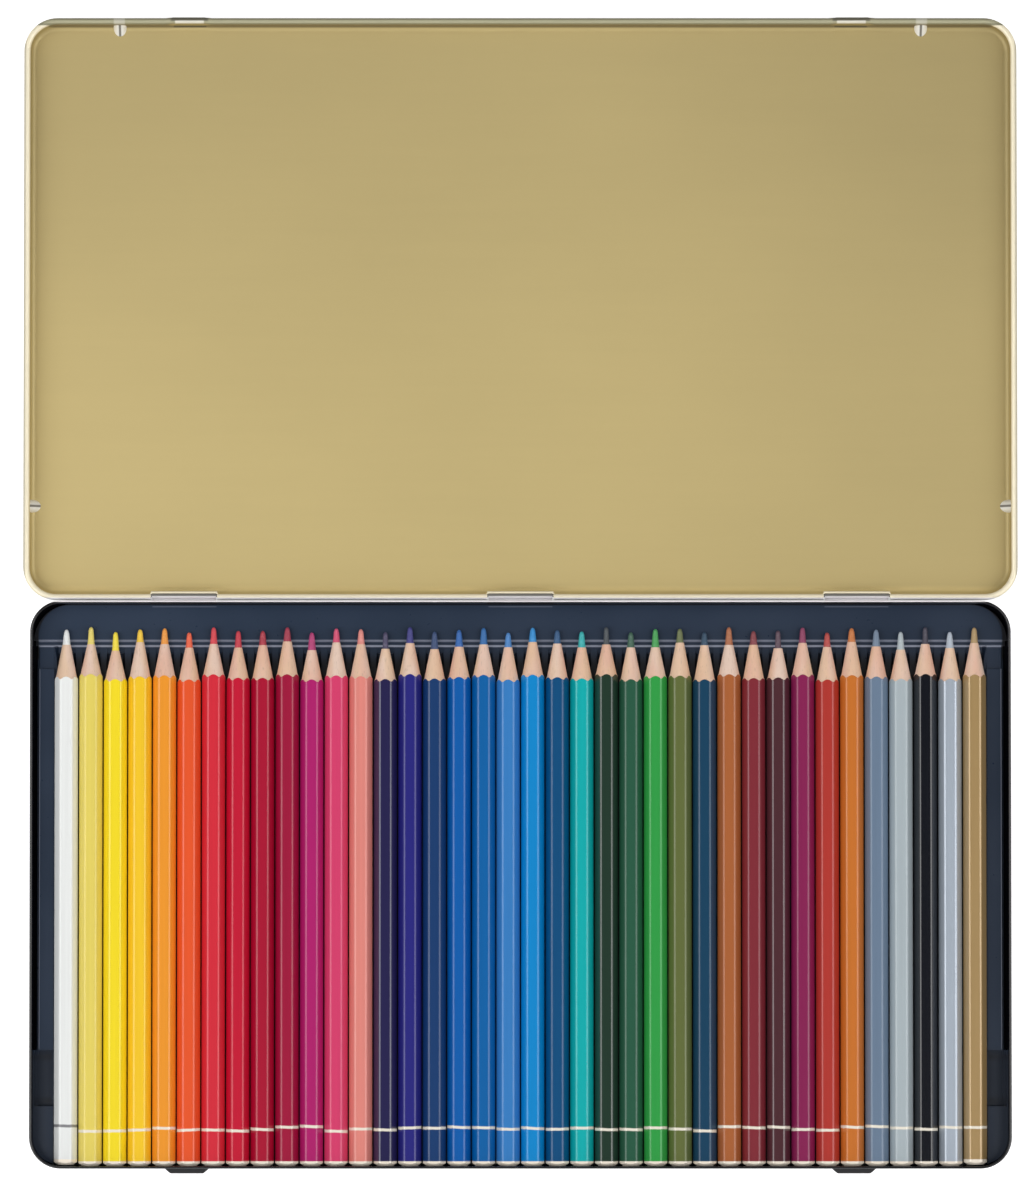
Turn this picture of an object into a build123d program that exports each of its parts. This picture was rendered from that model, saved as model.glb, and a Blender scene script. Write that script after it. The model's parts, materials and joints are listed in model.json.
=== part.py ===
from build123d import *
import os
from math import atan2, cos, degrees, radians, sin, sqrt, tan

os.makedirs("parts", exist_ok=True)

# A flat coloured-pencil tin, lying on a table with its lid laid open behind it.
# Millimetres. +Z up, +X to the right, +Y from the tray towards the open lid.
# Origin: middle of the footprint of the open tin, on the table.

# ---- sheet-metal shells
sheet = 0.3  # tinplate thickness
tray_height = 10.0
tray_corner = 13.3  # plan radius over the rim
tray_curl = 0.8  # diameter of the rolled rim
foot_radius = 2.0  # outside radius between floor and wall
closed_height = 13.0
lid_corner = 13.0
lid_curl = 1.7
lid_clearance = 0.6  # from the tray's rim to the lid's wall, all round
curl_wrap = 270.0  # degrees that the sheet turns in a rim
roll_step = 54.0  # degrees between the flats that stand for a roll

# ---- hinges
hinge_inset = 50.1  # from the tray's side to the middle of an outer hinge
hinge_width = 20.8  # the tray's knuckle
hinge_side_gap = 0.5
pin_running_clearance = 0.09
pin_hold = 5.0  # length of pin inside the lid's rim, each side
joggle = 0.75  # how far the lid's wall steps in behind a knuckle
joggle_height = 1.9
knuckle_wrap = 280.0

# ---- pressed details
thumb_inset = 50.0  # from the tray's side to the middle of a thumb boss
boss_width = 16.0
boss_height = 3.4
boss_reach = 1.6  # beyond the tray's rim
boss_taper = 34.0
bulge_width = 14.6  # chord of each bowed stretch of the lid's front wall
bulge_out = 0.5
pip_radius = 2.05
pip_sides = 8
pip_height = 3.2
pip_reach = 3.1
pip_inset = 31.0  # from the lid's side to a pip of its front wall
side_pip_setback = 30.9  # from the lid's hinge side

# ---- pencils
pencil_count = 38
pencil_gap = 0.33  # between the long edges of neighbours
across_flats = 6.8
edge_cut = 0.1  # taken off each long edge
pencil_length = 175.0
length_play = 1.8  # how much shorter a pencil may be sharpened
lead_diameter = 3.0
sharpening_angle = 11.6  # half of the point's angle
point_radius = 0.5  # blunt end of the lead
end_bevel = 1.4
end_inset = 1.2
point_sides = 12  # flats round the sharpened wood
lead_sides = 6
pencil_end_gap = 0.1  # to the tray's front wall
tip_room = 7.8  # from the farthest point to the tray's back wall

# ---- insert
film = 0.5  # plastic thickness
insert_gap = 0.3  # to the tray's wall
seat_gap = 0.02  # under each pencil
side_ledge = 6.74  # beside the outermost pencils
groove_gap = 0.25
ridge_height = 1.45
ledge_height = 2.5
side_ledge_height = 3.4
terrace_height = 1.65
ledge_depth = 13.0  # from the tray's back edge to the first step
terrace_depth = 16.3
side_ledge_start = 22.2
flange_width = 1.9
flange_drop = 2.3
pocket_length = 18.2
pocket_front = 20.2  # from the tray's front edge

# ---- derived places
corner_reach = across_flats / sqrt(3) - edge_cut
pencil_pitch = 2 * corner_reach + pencil_gap
field_half = pencil_count * pencil_pitch / 2
tray_width = 2 * (field_half + side_ledge + insert_gap + tray_curl)
tray_depth = pencil_end_gap + pencil_length + tip_room + 2 * tray_curl
hinge_height = closed_height / 2
knuckle_radius = lid_curl / 2
hinge_set_back = lid_clearance + knuckle_radius
lid_width = tray_width + 2 * (lid_clearance + lid_curl)
lid_depth = tray_depth + 2 * (lid_clearance + lid_curl)
front_reach = hinge_set_back + tray_depth + boss_reach
back_reach = lid_depth - knuckle_radius + bulge_out
hinge_y = (front_reach - back_reach) / 2
tray_back = hinge_y - hinge_set_back
tray_y = tray_back - tray_depth / 2
tray_front = tray_back - tray_depth
lid_near = hinge_y - knuckle_radius
lid_y = lid_near + lid_depth / 2
outer_hinge = tray_width / 2 - hinge_inset
hinge_places = [-outer_hinge, 0, outer_hinge]
thumb_places = [thumb_inset - tray_width / 2, tray_width / 2 - thumb_inset]


def roll_points(radius, centre, wrap):
    """Corners of a rolled edge, from the wall over the top and down outside."""
    turns = round(wrap / roll_step)
    angles = [radians(180 - wrap * i / turns) for i in range(turns + 1)]
    return [(centre[0] + radius * cos(a), centre[1] + radius * sin(a)) for a in angles]


def wall_section(plane, curl, top):
    """Cross-section of a pressed wall: sloping foot, upright and rolled rim.

    On the plane, x runs outwards from the wall's inner face and y runs up from the floor."""
    roll = curl / 2
    centre = (roll, top - roll)
    lean = foot_radius * sin(radians(45))
    rise = foot_radius - lean
    outer_foot = [(sheet - foot_radius, 0), (sheet - rise, rise), (sheet, foot_radius)]
    thin = foot_radius - sheet
    inner_rise = foot_radius - thin * sin(radians(45))
    inner_foot = [(0, foot_radius), (sheet - inner_rise, inner_rise), (sheet - foot_radius, sheet)]
    outside = roll_points(roll - sheet, centre, curl_wrap)
    inside = roll_points(roll, centre, curl_wrap)
    with BuildSketch(plane) as section:
        with BuildLine():
            Polyline(*outer_foot, *outside, *reversed(inside), *inner_foot, close=True)
        make_face()
    return section.sketch


def pressed_shell(width, depth, corner, curl, top):
    """An open pressed tray about the origin, with a rolled rim that stands outwards."""
    half_x = width / 2 - curl
    half_y = depth / 2 - curl
    turn = corner - curl
    inset = foot_radius - sheet
    front = Plane(origin=(0, -half_y, 0), x_dir=(0, -1, 0), z_dir=(-1, 0, 0))
    corner_front = Plane(
        origin=(half_x - turn, -half_y, 0), x_dir=(0, -1, 0), z_dir=(-1, 0, 0)
    )
    side = Plane(origin=(half_x, 0, 0), x_dir=(1, 0, 0), z_dir=(0, -1, 0))
    with BuildPart() as shell:
        extrude(wall_section(front, curl, top), amount=half_x - turn, dir=(1, 0, 0))
        revolve(
            wall_section(corner_front, curl, top),
            axis=Axis((half_x - turn, turn - half_y, 0), (0, 0, 1)),
            revolution_arc=90,
        )
        extrude(wall_section(side, curl, top), amount=half_y - turn, dir=(0, -1, 0))
        mirror(about=Plane.XZ)
        mirror(about=Plane.YZ)
        with BuildSketch(Plane.XY):
            RectangleRounded(2 * (half_x - inset), 2 * (half_y - inset), turn - inset)
        extrude(amount=sheet)
    return shell.part


# ---- tray shell
tray_inner_x = tray_width / 2 - tray_curl
tray_inner_front = tray_front + tray_curl
tray_inner_back = tray_back - tray_curl
tray_outer_back = tray_inner_back + sheet
tongue_low = hinge_height - knuckle_radius
tongue_top = tongue_low + sheet
window_top = tray_height - tray_curl - 0.1
boss_middle = hinge_height - knuckle_radius - 0.2 - boss_height / 2
boss_out = tray_curl + boss_reach

with BuildPart() as tray_shell:
    add(Pos(0, tray_y, 0) * pressed_shell(tray_width, tray_depth, tray_corner, tray_curl, tray_height))
    front_face = Plane(origin=(0, tray_inner_front, boss_middle), x_dir=(1, 0, 0), z_dir=(0, -1, 0))
    with BuildSketch(front_face):
        with Locations(*[(x, 0) for x in thumb_places]):
            Rectangle(boss_width, boss_height)
    extrude(amount=boss_out, taper=boss_taper / 2)
    with BuildSketch(front_face.offset(-sheet)):
        with Locations(*[(x, 0) for x in thumb_places]):
            Rectangle(boss_width - 2 * sheet, boss_height - 2 * sheet)
    extrude(amount=boss_out, taper=boss_taper / 2, mode=Mode.SUBTRACT)
    for x in hinge_places:
        with BuildSketch(Plane.XZ.offset(-tray_inner_back + 1)):
            with Locations((x, (tongue_top + window_top) / 2)):
                Rectangle(hinge_width + 2 * hinge_side_gap, window_top - tongue_top)
        extrude(amount=-sheet - 2, mode=Mode.SUBTRACT)
        knuckle_plane = Plane(
            origin=(x - hinge_width / 2, hinge_y, hinge_height), x_dir=(0, 1, 0), z_dir=(1, 0, 0)
        )
        with BuildSketch(knuckle_plane) as knuckle:
            with BuildLine():
                CenterArc((0, 0), knuckle_radius, -90, knuckle_wrap)
                CenterArc((0, 0), knuckle_radius - sheet, -90, knuckle_wrap)
                lip = radians(knuckle_wrap - 90)
                Line(
                    (knuckle_radius * cos(lip), knuckle_radius * sin(lip)),
                    ((knuckle_radius - sheet) * cos(lip), (knuckle_radius - sheet) * sin(lip)),
                )
                root = tray_inner_back - hinge_y
                Polyline(
                    (0, -knuckle_radius),
                    (root, -knuckle_radius),
                    (root, sheet - knuckle_radius),
                    (0, sheet - knuckle_radius),
                )
            make_face()
        extrude(amount=hinge_width)
tray_shell.part.label = "tray_shell"

# ---- lid shell, laid open
lid_inner_near = lid_near + lid_curl
lid_inner_far = lid_near + lid_depth - lid_curl
lid_inner_x = lid_width / 2 - lid_curl
lid_rim_top = hinge_height + knuckle_radius
bulge_radius = ((bulge_width / 2) ** 2 + bulge_out**2) / (2 * bulge_out)
bulge_centre_y = lid_inner_far + bulge_out - bulge_radius
bulge_angle = 2 * degrees(atan2(bulge_width / 2, bulge_radius - bulge_out))
joggle_top = hinge_height + 0.1
joggle_low = joggle_top - joggle_height
notch_width = hinge_width + 2 * hinge_side_gap
pip_slope = degrees(atan2(pip_height, pip_reach))
pip_run = 3 * pip_reach


def pip_rod(radius, out_angle, x, y):
    """A slanting round rod whose upper line runs from the wall down to the lid's panel."""
    slant = radians(pip_slope)
    drop = Vector(cos(slant), 0, -sin(slant))
    under = Vector(-sin(slant), 0, -cos(slant)) * pip_radius
    middle = Vector(pip_reach / 2, 0, sheet + pip_height / 2) + under
    rod_plane = Plane(origin=middle, z_dir=drop)
    with BuildPart() as rod:
        with BuildSketch(rod_plane):
            RegularPolygon(radius, pip_sides)
        extrude(amount=pip_run, both=True)
    return Pos(x, y, 0) * Rot(0, 0, out_angle) * rod.part


pip_places = [
    (-90, pip_inset - lid_width / 2, lid_inner_far),
    (-90, lid_width / 2 - pip_inset, lid_inner_far),
    (0, -lid_inner_x, lid_near + side_pip_setback),
    (180, lid_inner_x, lid_near + side_pip_setback),
]

with BuildPart() as lid_room:
    with BuildSketch(Plane.XY.offset(sheet / 2)):
        with Locations((0, lid_y)):
            RectangleRounded(
                2 * lid_inner_x + sheet, lid_inner_far - lid_inner_near + sheet, lid_corner - lid_curl
            )
    extrude(amount=2 * pip_height)

with BuildPart() as pip_ridges:
    for angle, x, y in pip_places:
        add(pip_rod(pip_radius, angle, x, y))
    add(lid_room.part, mode=Mode.INTERSECT)

with BuildPart() as lid_shell:
    add(Pos(0, lid_y, 0) * pressed_shell(lid_width, lid_depth, lid_corner, lid_curl, lid_rim_top))
    for x in thumb_places:
        with BuildSketch(Plane.XY.offset(-1)):
            with Locations((x, lid_inner_far - foot_radius)):
                Rectangle(bulge_width, 2 * foot_radius + 2 * lid_curl, align=(Align.CENTER, Align.MIN))
        extrude(amount=lid_rim_top + 2, mode=Mode.SUBTRACT)
        bow_start = Plane(
            origin=(
                x + bulge_radius * sin(radians(bulge_angle / 2)),
                bulge_centre_y + bulge_radius * cos(radians(bulge_angle / 2)),
                0,
            ),
            x_dir=(sin(radians(bulge_angle / 2)), cos(radians(bulge_angle / 2)), 0),
            z_dir=(cos(radians(bulge_angle / 2)), -sin(radians(bulge_angle / 2)), 0),
        )
        revolve(
            wall_section(bow_start, lid_curl, lid_rim_top),
            axis=Axis((x, bulge_centre_y, 0), (0, 0, 1)),
            revolution_arc=bulge_angle,
        )
        with BuildSketch(Plane.XY):
            with Locations((x, bulge_centre_y)):
                Circle(bulge_radius + sheet - foot_radius)
            with Locations((x, lid_inner_far - foot_radius - sheet)):
                Rectangle(bulge_width, 3 * foot_radius, align=(Align.CENTER, Align.MIN), mode=Mode.INTERSECT)
        extrude(amount=sheet)
    add(pip_ridges.part)
    for angle, x, y in pip_places:
        add(pip_rod(pip_radius - sheet, angle, x, y), mode=Mode.SUBTRACT)
    for x in hinge_places:
        with BuildSketch(Plane.XY.offset(joggle_low)):
            with Locations((x, lid_inner_near + joggle)):
                Rectangle(notch_width + 2 * sheet, joggle + sheet, align=(Align.CENTER, Align.MAX))
        extrude(amount=joggle_height)
        with BuildSketch(Plane.XY.offset(joggle_low + sheet)):
            with Locations((x, lid_inner_near + joggle - sheet)):
                Rectangle(notch_width, 2 * lid_curl, align=(Align.CENTER, Align.MAX))
        extrude(amount=2 * lid_curl + joggle_height, mode=Mode.SUBTRACT)
lid_shell.part.label = "lid_shell"

# ---- hinge pins
pin_length = notch_width + 2 * pin_hold
hinge_pins = []
for name, x in zip(["left", "middle", "right"], hinge_places):
    with BuildPart() as hinge_pin:
        with BuildSketch(Plane.YZ.offset(x - pin_length / 2)):
            with Locations((hinge_y, hinge_height)):
                Circle(knuckle_radius - sheet - pin_running_clearance)
        extrude(amount=pin_length)
    hinge_pin.part.label = f"hinge_pin_{name}"
    hinge_pins.append(hinge_pin.part)

# ---- plastic insert
insert_x = tray_inner_x - insert_gap
insert_front = tray_inner_front + insert_gap
insert_back = tray_inner_back - insert_gap
groove_floor = sheet + film
ledge_line = tray_back - ledge_depth
terrace_line = tray_back - terrace_depth
flat_half = across_flats / sqrt(3) / 2
groove_half = flat_half + groove_gap
groove_lean = ridge_height / tan(radians(60))
pocket_line = tray_front + pocket_front
pocket_end = pocket_line + pocket_length
groove_foot = pencil_pitch / 2 - groove_half
film_aside = film / sin(radians(60))
film_lean = film / tan(radians(60))
ridge_top = groove_floor + ridge_height
well_top = side_ledge_height + 1
insert_y = (insert_front + insert_back) / 2
insert_corner = tray_corner - tray_curl - insert_gap
side_line = tray_back - side_ledge_start


def insert_region(x_range, y_range):
    """The part of the insert's plan, one film inside its edge, that lies in a rectangle."""
    with BuildSketch(Plane.XY) as region:
        with Locations((0, insert_y)):
            RectangleRounded(
                2 * (insert_x - film), insert_back - insert_front - 2 * film, insert_corner - film
            )
        with Locations((sum(x_range) / 2, sum(y_range) / 2)):
            Rectangle(abs(x_range[1] - x_range[0]), y_range[1] - y_range[0], mode=Mode.INTERSECT)
    return region.sketch


beyond = insert_x + 10
flange_height = side_ledge_height - flange_drop
flange_x = insert_x - flange_width
wells = [
    ((-beyond, beyond), (ledge_line, tray_back), ledge_height),
    ((-beyond, beyond), (terrace_line, ledge_line), terrace_height),
]
hollows = [
    ((-beyond, beyond), (ledge_line + film, tray_back), ledge_height),
    ((-beyond, beyond), (terrace_line + film, ledge_line + film), terrace_height),
]
for side in (-1, 1):
    edge = (side * (field_half + film), side * (flange_x - film))
    under_flange = (side * (flange_x - film), side * beyond)
    corner = (side * (field_half + film), side * beyond)
    wells += [
        ((side * field_half, side * beyond), (side_line, terrace_line), ledge_height),
        ((side * flange_x, side * beyond), (pocket_end, terrace_line), flange_height),
    ]
    hollows += [
        (edge, (side_line - film, terrace_line - film), ledge_height),
        (edge, (pocket_end + film, side_line - film), side_ledge_height),
        (under_flange, (pocket_end + film, terrace_line - film), flange_height),
        (corner, (tray_front, pocket_line - film), side_ledge_height),
    ]

with BuildPart() as pencil_insert:
    with BuildSketch(Plane.XY.offset(sheet)):
        with Locations((0, insert_y)):
            RectangleRounded(2 * insert_x, insert_back - insert_front, insert_corner)
    extrude(amount=side_ledge_height - sheet)
    chamfer(pencil_insert.faces().sort_by(Axis.Z)[0].edges(), foot_radius)
    for x_range, y_range, height in wells:
        with BuildSketch(Plane.XY.offset(height)):
            with Locations((sum(x_range) / 2, sum(y_range) / 2)):
                Rectangle(abs(x_range[1] - x_range[0]), y_range[1] - y_range[0])
        extrude(amount=well_top, mode=Mode.SUBTRACT)
    for side in (-1, 1):
        with BuildSketch(Plane.XY.offset(groove_floor)):
            with Locations((side * (field_half - film), pocket_line)):
                Rectangle(
                    insert_x - field_half,
                    pocket_length,
                    align=(Align.MIN if side > 0 else Align.MAX, Align.MIN),
                )
        extrude(amount=well_top, mode=Mode.SUBTRACT)
    with BuildSketch(Plane.XZ.offset(-terrace_line)):
        with BuildLine():
            outline = [(-field_half, well_top), (-field_half, ridge_top)]
            for i in range(pencil_count):
                x = (i - (pencil_count - 1) / 2) * pencil_pitch
                outline += [
                    (x - groove_half - groove_lean, ridge_top),
                    (x - groove_half, groove_floor),
                    (x + groove_half, groove_floor),
                    (x + groove_half + groove_lean, ridge_top),
                ]
            outline += [(field_half, ridge_top), (field_half, well_top)]
            Polyline(*outline, close=True)
        make_face()
    extrude(amount=terrace_line - tray_front, mode=Mode.SUBTRACT)
    for x_range, y_range, height in hollows:
        extrude(insert_region(x_range, y_range), amount=height - film, mode=Mode.SUBTRACT)
    with BuildSketch(Plane.XZ.offset(film - terrace_line)):
        foot = groove_foot + film_lean - film_aside
        crown = foot - groove_lean + film_lean
        with BuildLine():
            Polyline(
                (-foot, sheet), (-crown, ridge_top - film), (crown, ridge_top - film), (foot, sheet), close=True
            )
        make_face()
    ridge_hollow = extrude(amount=terrace_line - insert_front - 2 * film, mode=Mode.PRIVATE)
    with Locations(*[((i - (pencil_count - 2) / 2) * pencil_pitch, 0, 0) for i in range(pencil_count - 1)]):
        add(ridge_hollow, mode=Mode.SUBTRACT)
pencil_insert.part.label = "pencil_insert"

# ---- pencils
point_slope = tan(radians(sharpening_angle))
pencil_z = groove_floor + seat_gap + across_flats / 2
lead_radius = lead_diameter / 2
barrel_cut = (corner_reach - point_radius) / point_slope
lead_cut = (lead_radius - point_radius) / point_slope
end_half = (across_flats - 2 * end_inset) / sqrt(3)
corner_turn = tray_corner - tray_curl


def pointed_rod(start, length, half_width, cut, sides):
    """A many-sided rod that tapers to the blunt point over its cut."""
    with BuildPart() as rod:
        with BuildSketch(start):
            RegularPolygon(half_width, sides, major_radius=False, rotation=180 / sides)
        extrude(amount=length)
        end = rod.faces().sort_by(Axis.Y)[-1]
        chamfer(end.edges(), length=half_width - point_radius, length2=cut, reference=end)
    return rod.part


def corner_setback(x):
    """How far the tray's rounded corner holds back the end of a pencil that lies at x."""
    into_corner = max(0, abs(x) + end_half - tray_inner_x + corner_turn)
    return corner_turn - sqrt(corner_turn**2 - into_corner**2)


def pencil(x, length):
    """A hexagonal barrel with a bevelled end and a scalloped cone, round a lead."""
    start_y = tray_inner_front + pencil_end_gap + corner_setback(x)
    start = Plane(origin=(x, start_y, pencil_z), x_dir=(1, 0, 0), z_dir=(0, 1, 0))
    lead = pointed_rod(start, length, lead_radius, lead_cut, lead_sides)
    with BuildPart() as barrel:
        with BuildSketch(start):
            RegularPolygon(across_flats / 2, 6, major_radius=False)
        extrude(amount=length)
        blunt_end = barrel.faces().sort_by(Axis.Y)[0]
        chamfer(blunt_end.edges(), length=end_inset, length2=end_bevel, reference=blunt_end)
        add(pointed_rod(start, length, corner_reach, barrel_cut, point_sides), mode=Mode.INTERSECT)
        with BuildSketch(start.offset(length - lead_cut)):
            Circle(across_flats)
        extrude(amount=lead_cut, mode=Mode.SUBTRACT)
        add(lead, mode=Mode.SUBTRACT)
    return Compound(children=[barrel.part, lead])


pencils = []
for number in range(1, pencil_count + 1):
    shortening = length_play * (1 + sin(2.4 * number)) / 2
    pencils.append(
        pencil((number - (pencil_count + 1) / 2) * pencil_pitch, pencil_length - shortening)
    )
    pencils[-1].label = f"pencil_{number:02d}"

# ---- files
export_step(tray_shell.part, "parts/tray_shell.step")
export_step(lid_shell.part, "parts/lid_shell.step")
export_step(pencil_insert.part, "parts/pencil_insert.step")
for piece in hinge_pins + pencils:
    export_step(piece, f"parts/{piece.label}.step")
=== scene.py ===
import json
import random
from math import atan2, cos, pi, radians, sin, sqrt, tan

import bmesh
import bpy
from mathutils import Matrix, Vector


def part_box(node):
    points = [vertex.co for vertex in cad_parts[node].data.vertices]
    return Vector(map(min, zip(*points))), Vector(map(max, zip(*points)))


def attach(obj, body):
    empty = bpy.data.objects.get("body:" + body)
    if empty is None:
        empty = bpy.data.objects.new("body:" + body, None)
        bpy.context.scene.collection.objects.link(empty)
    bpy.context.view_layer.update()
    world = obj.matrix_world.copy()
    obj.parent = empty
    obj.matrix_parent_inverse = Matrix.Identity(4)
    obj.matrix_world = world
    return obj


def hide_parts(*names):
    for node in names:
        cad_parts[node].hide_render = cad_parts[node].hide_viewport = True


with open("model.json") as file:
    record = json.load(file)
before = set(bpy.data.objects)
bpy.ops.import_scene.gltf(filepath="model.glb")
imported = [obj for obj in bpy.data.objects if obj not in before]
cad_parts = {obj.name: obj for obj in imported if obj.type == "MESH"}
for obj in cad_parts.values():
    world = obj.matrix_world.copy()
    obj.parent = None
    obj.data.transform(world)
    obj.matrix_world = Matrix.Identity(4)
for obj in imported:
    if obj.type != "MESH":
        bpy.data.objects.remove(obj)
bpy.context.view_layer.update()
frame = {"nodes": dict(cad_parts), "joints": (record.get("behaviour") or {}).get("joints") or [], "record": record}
record = frame["record"]

bl_info = {
    "name": "Coloured Pencil Tin",
    "version": (1, 0, 0),
    "blender": (4, 5, 0),
    "location": "View3D > Sidebar > Pencil Tin",
    "description": "Dresses a flat tin of coloured pencils in lacquer, film and turned wood",
    "category": "Object",
}

mm = 0.001


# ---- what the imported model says
def slots():
    """Material slot of every node, and the base colour of every slot."""
    colours = {entry["slot"]: tuple(entry["base_color"][:3]) for entry in record["materials"]}
    return {entry["node"]: entry["material_slot"] for entry in record["subparts"]}, colours


slot_of_node, slot_colours = slots()
pencil_nodes = sorted(node for node in frame["nodes"] if node.startswith("pencil_") and node[-1].isdigit())
hinge = next(joint for joint in frame["joints"] if joint["name"] == "lid_hinge")
hinge_y, hinge_z = hinge["pos_m"][1], hinge["pos_m"][2]
pin_nodes = sorted(node for node in frame["nodes"] if node.startswith("hinge_pin"))
tray_low, tray_high = (Vector(corner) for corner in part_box("tray_shell"))
lid_low, lid_high = (Vector(corner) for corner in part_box("lid_shell"))
insert_low, insert_high = (Vector(corner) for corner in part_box("pencil_insert"))

# ---- pressed sheet, in metres
sheet = 0.3 * mm
foot_radius = 2.0 * mm
tray_curl = 0.8 * mm
tray_corner = 10.2 * mm
lid_curl = 2.0 * mm
lid_wall = 1.7 * mm
knuckle_radius = 0.85 * mm
lid_corner = 10.8 * mm
lid_nearer = 0.5 * mm
hinge_width = 20.8 * mm
hinge_side_gap = 0.35 * mm
joggle = 0.6 * mm
joggle_height = 1.9 * mm
bead_radius = 0.45 * mm
boss_width = 16.0 * mm
boss_height = 3.4 * mm
boss_taper = radians(26)
thumb_inset = 51.2 * mm
bulge_place = 107.9 * mm
bulge_width = 14.6 * mm
bulge_room = 0.1 * mm
bulge_out = 0.25 * mm
bulge_ease = 1.4 * mm
insert_gap = 0.3 * mm
side_gap = 0.08 * mm
insert_corner = 12.2 * mm
ledge_line = insert_high.y - 11.9 * mm
terrace_line = insert_high.y - 15.2 * mm
terrace_shift = 1.6 * mm
side_line = insert_high.x - 1.9 * mm
pip_radius = 2.2 * mm
pip_height = 3.4 * mm
pip_reach = 3.7 * mm
pip_inset = 31.0 * mm
side_pip_setback = 30.9 * mm


# ---- expressions on sockets
class Wire:
    """A socket of a node tree that takes part in Python expressions."""

    def __init__(self, tree, socket):
        self.tree = tree
        self.socket = socket

    def math(self, operation, *others):
        node = self.tree.add("ShaderNodeMath", {"operation": operation}, dict(enumerate((self, *others))))
        return node.out()

    def __add__(self, other):
        return self.math("ADD", other)

    def __sub__(self, other):
        return self.math("SUBTRACT", other)

    def __mul__(self, other):
        return self.math("MULTIPLY", other)

    def __truediv__(self, other):
        return self.math("DIVIDE", other)

    def __rsub__(self, other):
        return (self * -1.0) + other

    __radd__ = __add__
    __rmul__ = __mul__

    def ramp(self, low, high):
        """0 below low, 1 above high, smooth between."""
        settings = {"interpolation_type": "SMOOTHSTEP"}
        node = self.tree.add("ShaderNodeMapRange", settings, {"Value": self, "From Min": low, "From Max": high})
        return node.out("Result")

    def band(self, low, high, edge):
        return self.ramp(low - edge, low + edge) * (1.0 - self.ramp(high - edge, high + edge))


class Node:
    """A node just added, whose outputs come out as wires."""

    def __init__(self, tree, node):
        self.tree = tree
        self.node = node

    def out(self, name=0):
        return Wire(self.tree, self.node.outputs[name])


class Tree:
    """A node tree that is written as calls and expressions."""

    def __init__(self, node_tree):
        self.node_tree = node_tree

    def add(self, kind, settings=None, values=None):
        """Adds a node of this type with its settings, then the values or links of its sockets."""
        node = self.node_tree.nodes.new(kind)
        for name, setting in (settings or {}).items():
            if name == "stops":
                ramp = node.color_ramp
                for position, colour in setting[2:]:
                    ramp.elements.new(position)
                for element, (position, colour) in zip(ramp.elements, sorted(setting)):
                    element.position, element.color = position, (*colour[:3], 1.0)
            elif name == "items":
                for _ in range(setting - len(node.index_switch_items)):
                    node.index_switch_items.new()
            else:
                setattr(node, name, setting)
        for name, value in (values or {}).items():
            self.feed(node.inputs[name], value)
        return Node(self, node)

    def feed(self, socket, value):
        for item in value if isinstance(value, list) else [value]:
            if isinstance(item, Wire):
                self.node_tree.links.new(item.socket, socket)
            elif isinstance(socket.default_value, (float, int, str, bool)):
                socket.default_value = item
            else:
                length = len(socket.default_value)
                socket.default_value = (*item, 1.0)[:length] if len(item) < length else item

    # shader shorthands
    def place(self):
        return self.add("ShaderNodeTexCoord").out("Object")

    def moved(self, origin=(0, 0, 0), stretch=(1, 1, 1)):
        """Object coordinates measured from an origin and stretched along the axes."""
        shift = tuple(-o * s for o, s in zip(origin, stretch))
        return self.add(
            "ShaderNodeMapping", {}, {"Vector": self.place(), "Location": shift, "Scale": stretch}
        ).out()

    def noise(self, size, stretch=(1, 1, 1), detail=3.0, origin=(0, 0, 0)):
        """Noise about 0.5, with features of a size in metres."""
        values = {"Vector": self.moved(origin, stretch), "Scale": 1.0 / size, "Detail": detail}
        return self.add("ShaderNodeTexNoise", {}, values).out("Fac")

    def split(self, vector):
        node = self.add("ShaderNodeSeparateXYZ", {}, {"Vector": vector})
        return node.out("X"), node.out("Y"), node.out("Z")

    def mix(self, factor, first, second):
        node = self.add("ShaderNodeMix", {"data_type": "RGBA"}, {0: factor, 6: first, 7: second})
        return node.out(2)

    def bump(self, height, depth, strength=1.0):
        values = {"Height": height, "Distance": depth, "Strength": strength}
        return self.add("ShaderNodeBump", {}, values).out()


def shade(colour, factor):
    return tuple(min(1.0, max(0.0, c * factor)) for c in colour)


def blend(first, second, share):
    return tuple(a * (1 - share) + b * share for a, b in zip(first, second))


def material(name, build):
    """A material whose Principled sockets are what build(tree) returns."""
    made = bpy.data.materials.new(name)
    made.use_nodes = True
    made.node_tree.nodes.clear()
    tree = Tree(made.node_tree)
    surface = tree.add("ShaderNodeBsdfPrincipled", {}, build(tree))
    tree.add("ShaderNodeOutputMaterial", {}, {"Surface": surface.out()})
    return made


# ---- finishes of the tin
def black_lacquer(look):
    """Gloss black lacquer with handling haze and the faint peel of a baked coat."""

    def build(tree):
        haze = tree.noise(0.045, detail=4.0).ramp(0.42, 0.72)
        scuffs = tree.noise(0.004, stretch=(1, 0.25, 1), detail=6.0).ramp(0.58, 0.75)
        x, y, z = tree.split(tree.place())
        edge = insert_high.y + side_gap + tray_curl
        # Pale strip on the top of the tray's far rim: partly bare metal, partly a painted highlight where the roll
        # gets little lamp light.
        bare_and_lit_edge = y.ramp(edge - 0.5 * mm, edge - 0.36 * mm) * z.ramp(8.6 * mm, 8.8 * mm)
        black = tree.mix(haze, look.black, shade(look.black, 1.3))
        return {
            "Base Color": tree.mix(bare_and_lit_edge, black, (1.0, 0.97, 1.0)),
            "Roughness": 0.16 + haze * 0.08 + scuffs * 0.06 + bare_and_lit_edge * 0.2,
            "Coat Weight": 0.4 - bare_and_lit_edge * 0.3,
            "Coat Roughness": 0.08,
            "Normal": tree.bump(tree.noise(0.0022, detail=2.0), 0.000012),
        }

    return material("black_lacquer", build)


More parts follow.
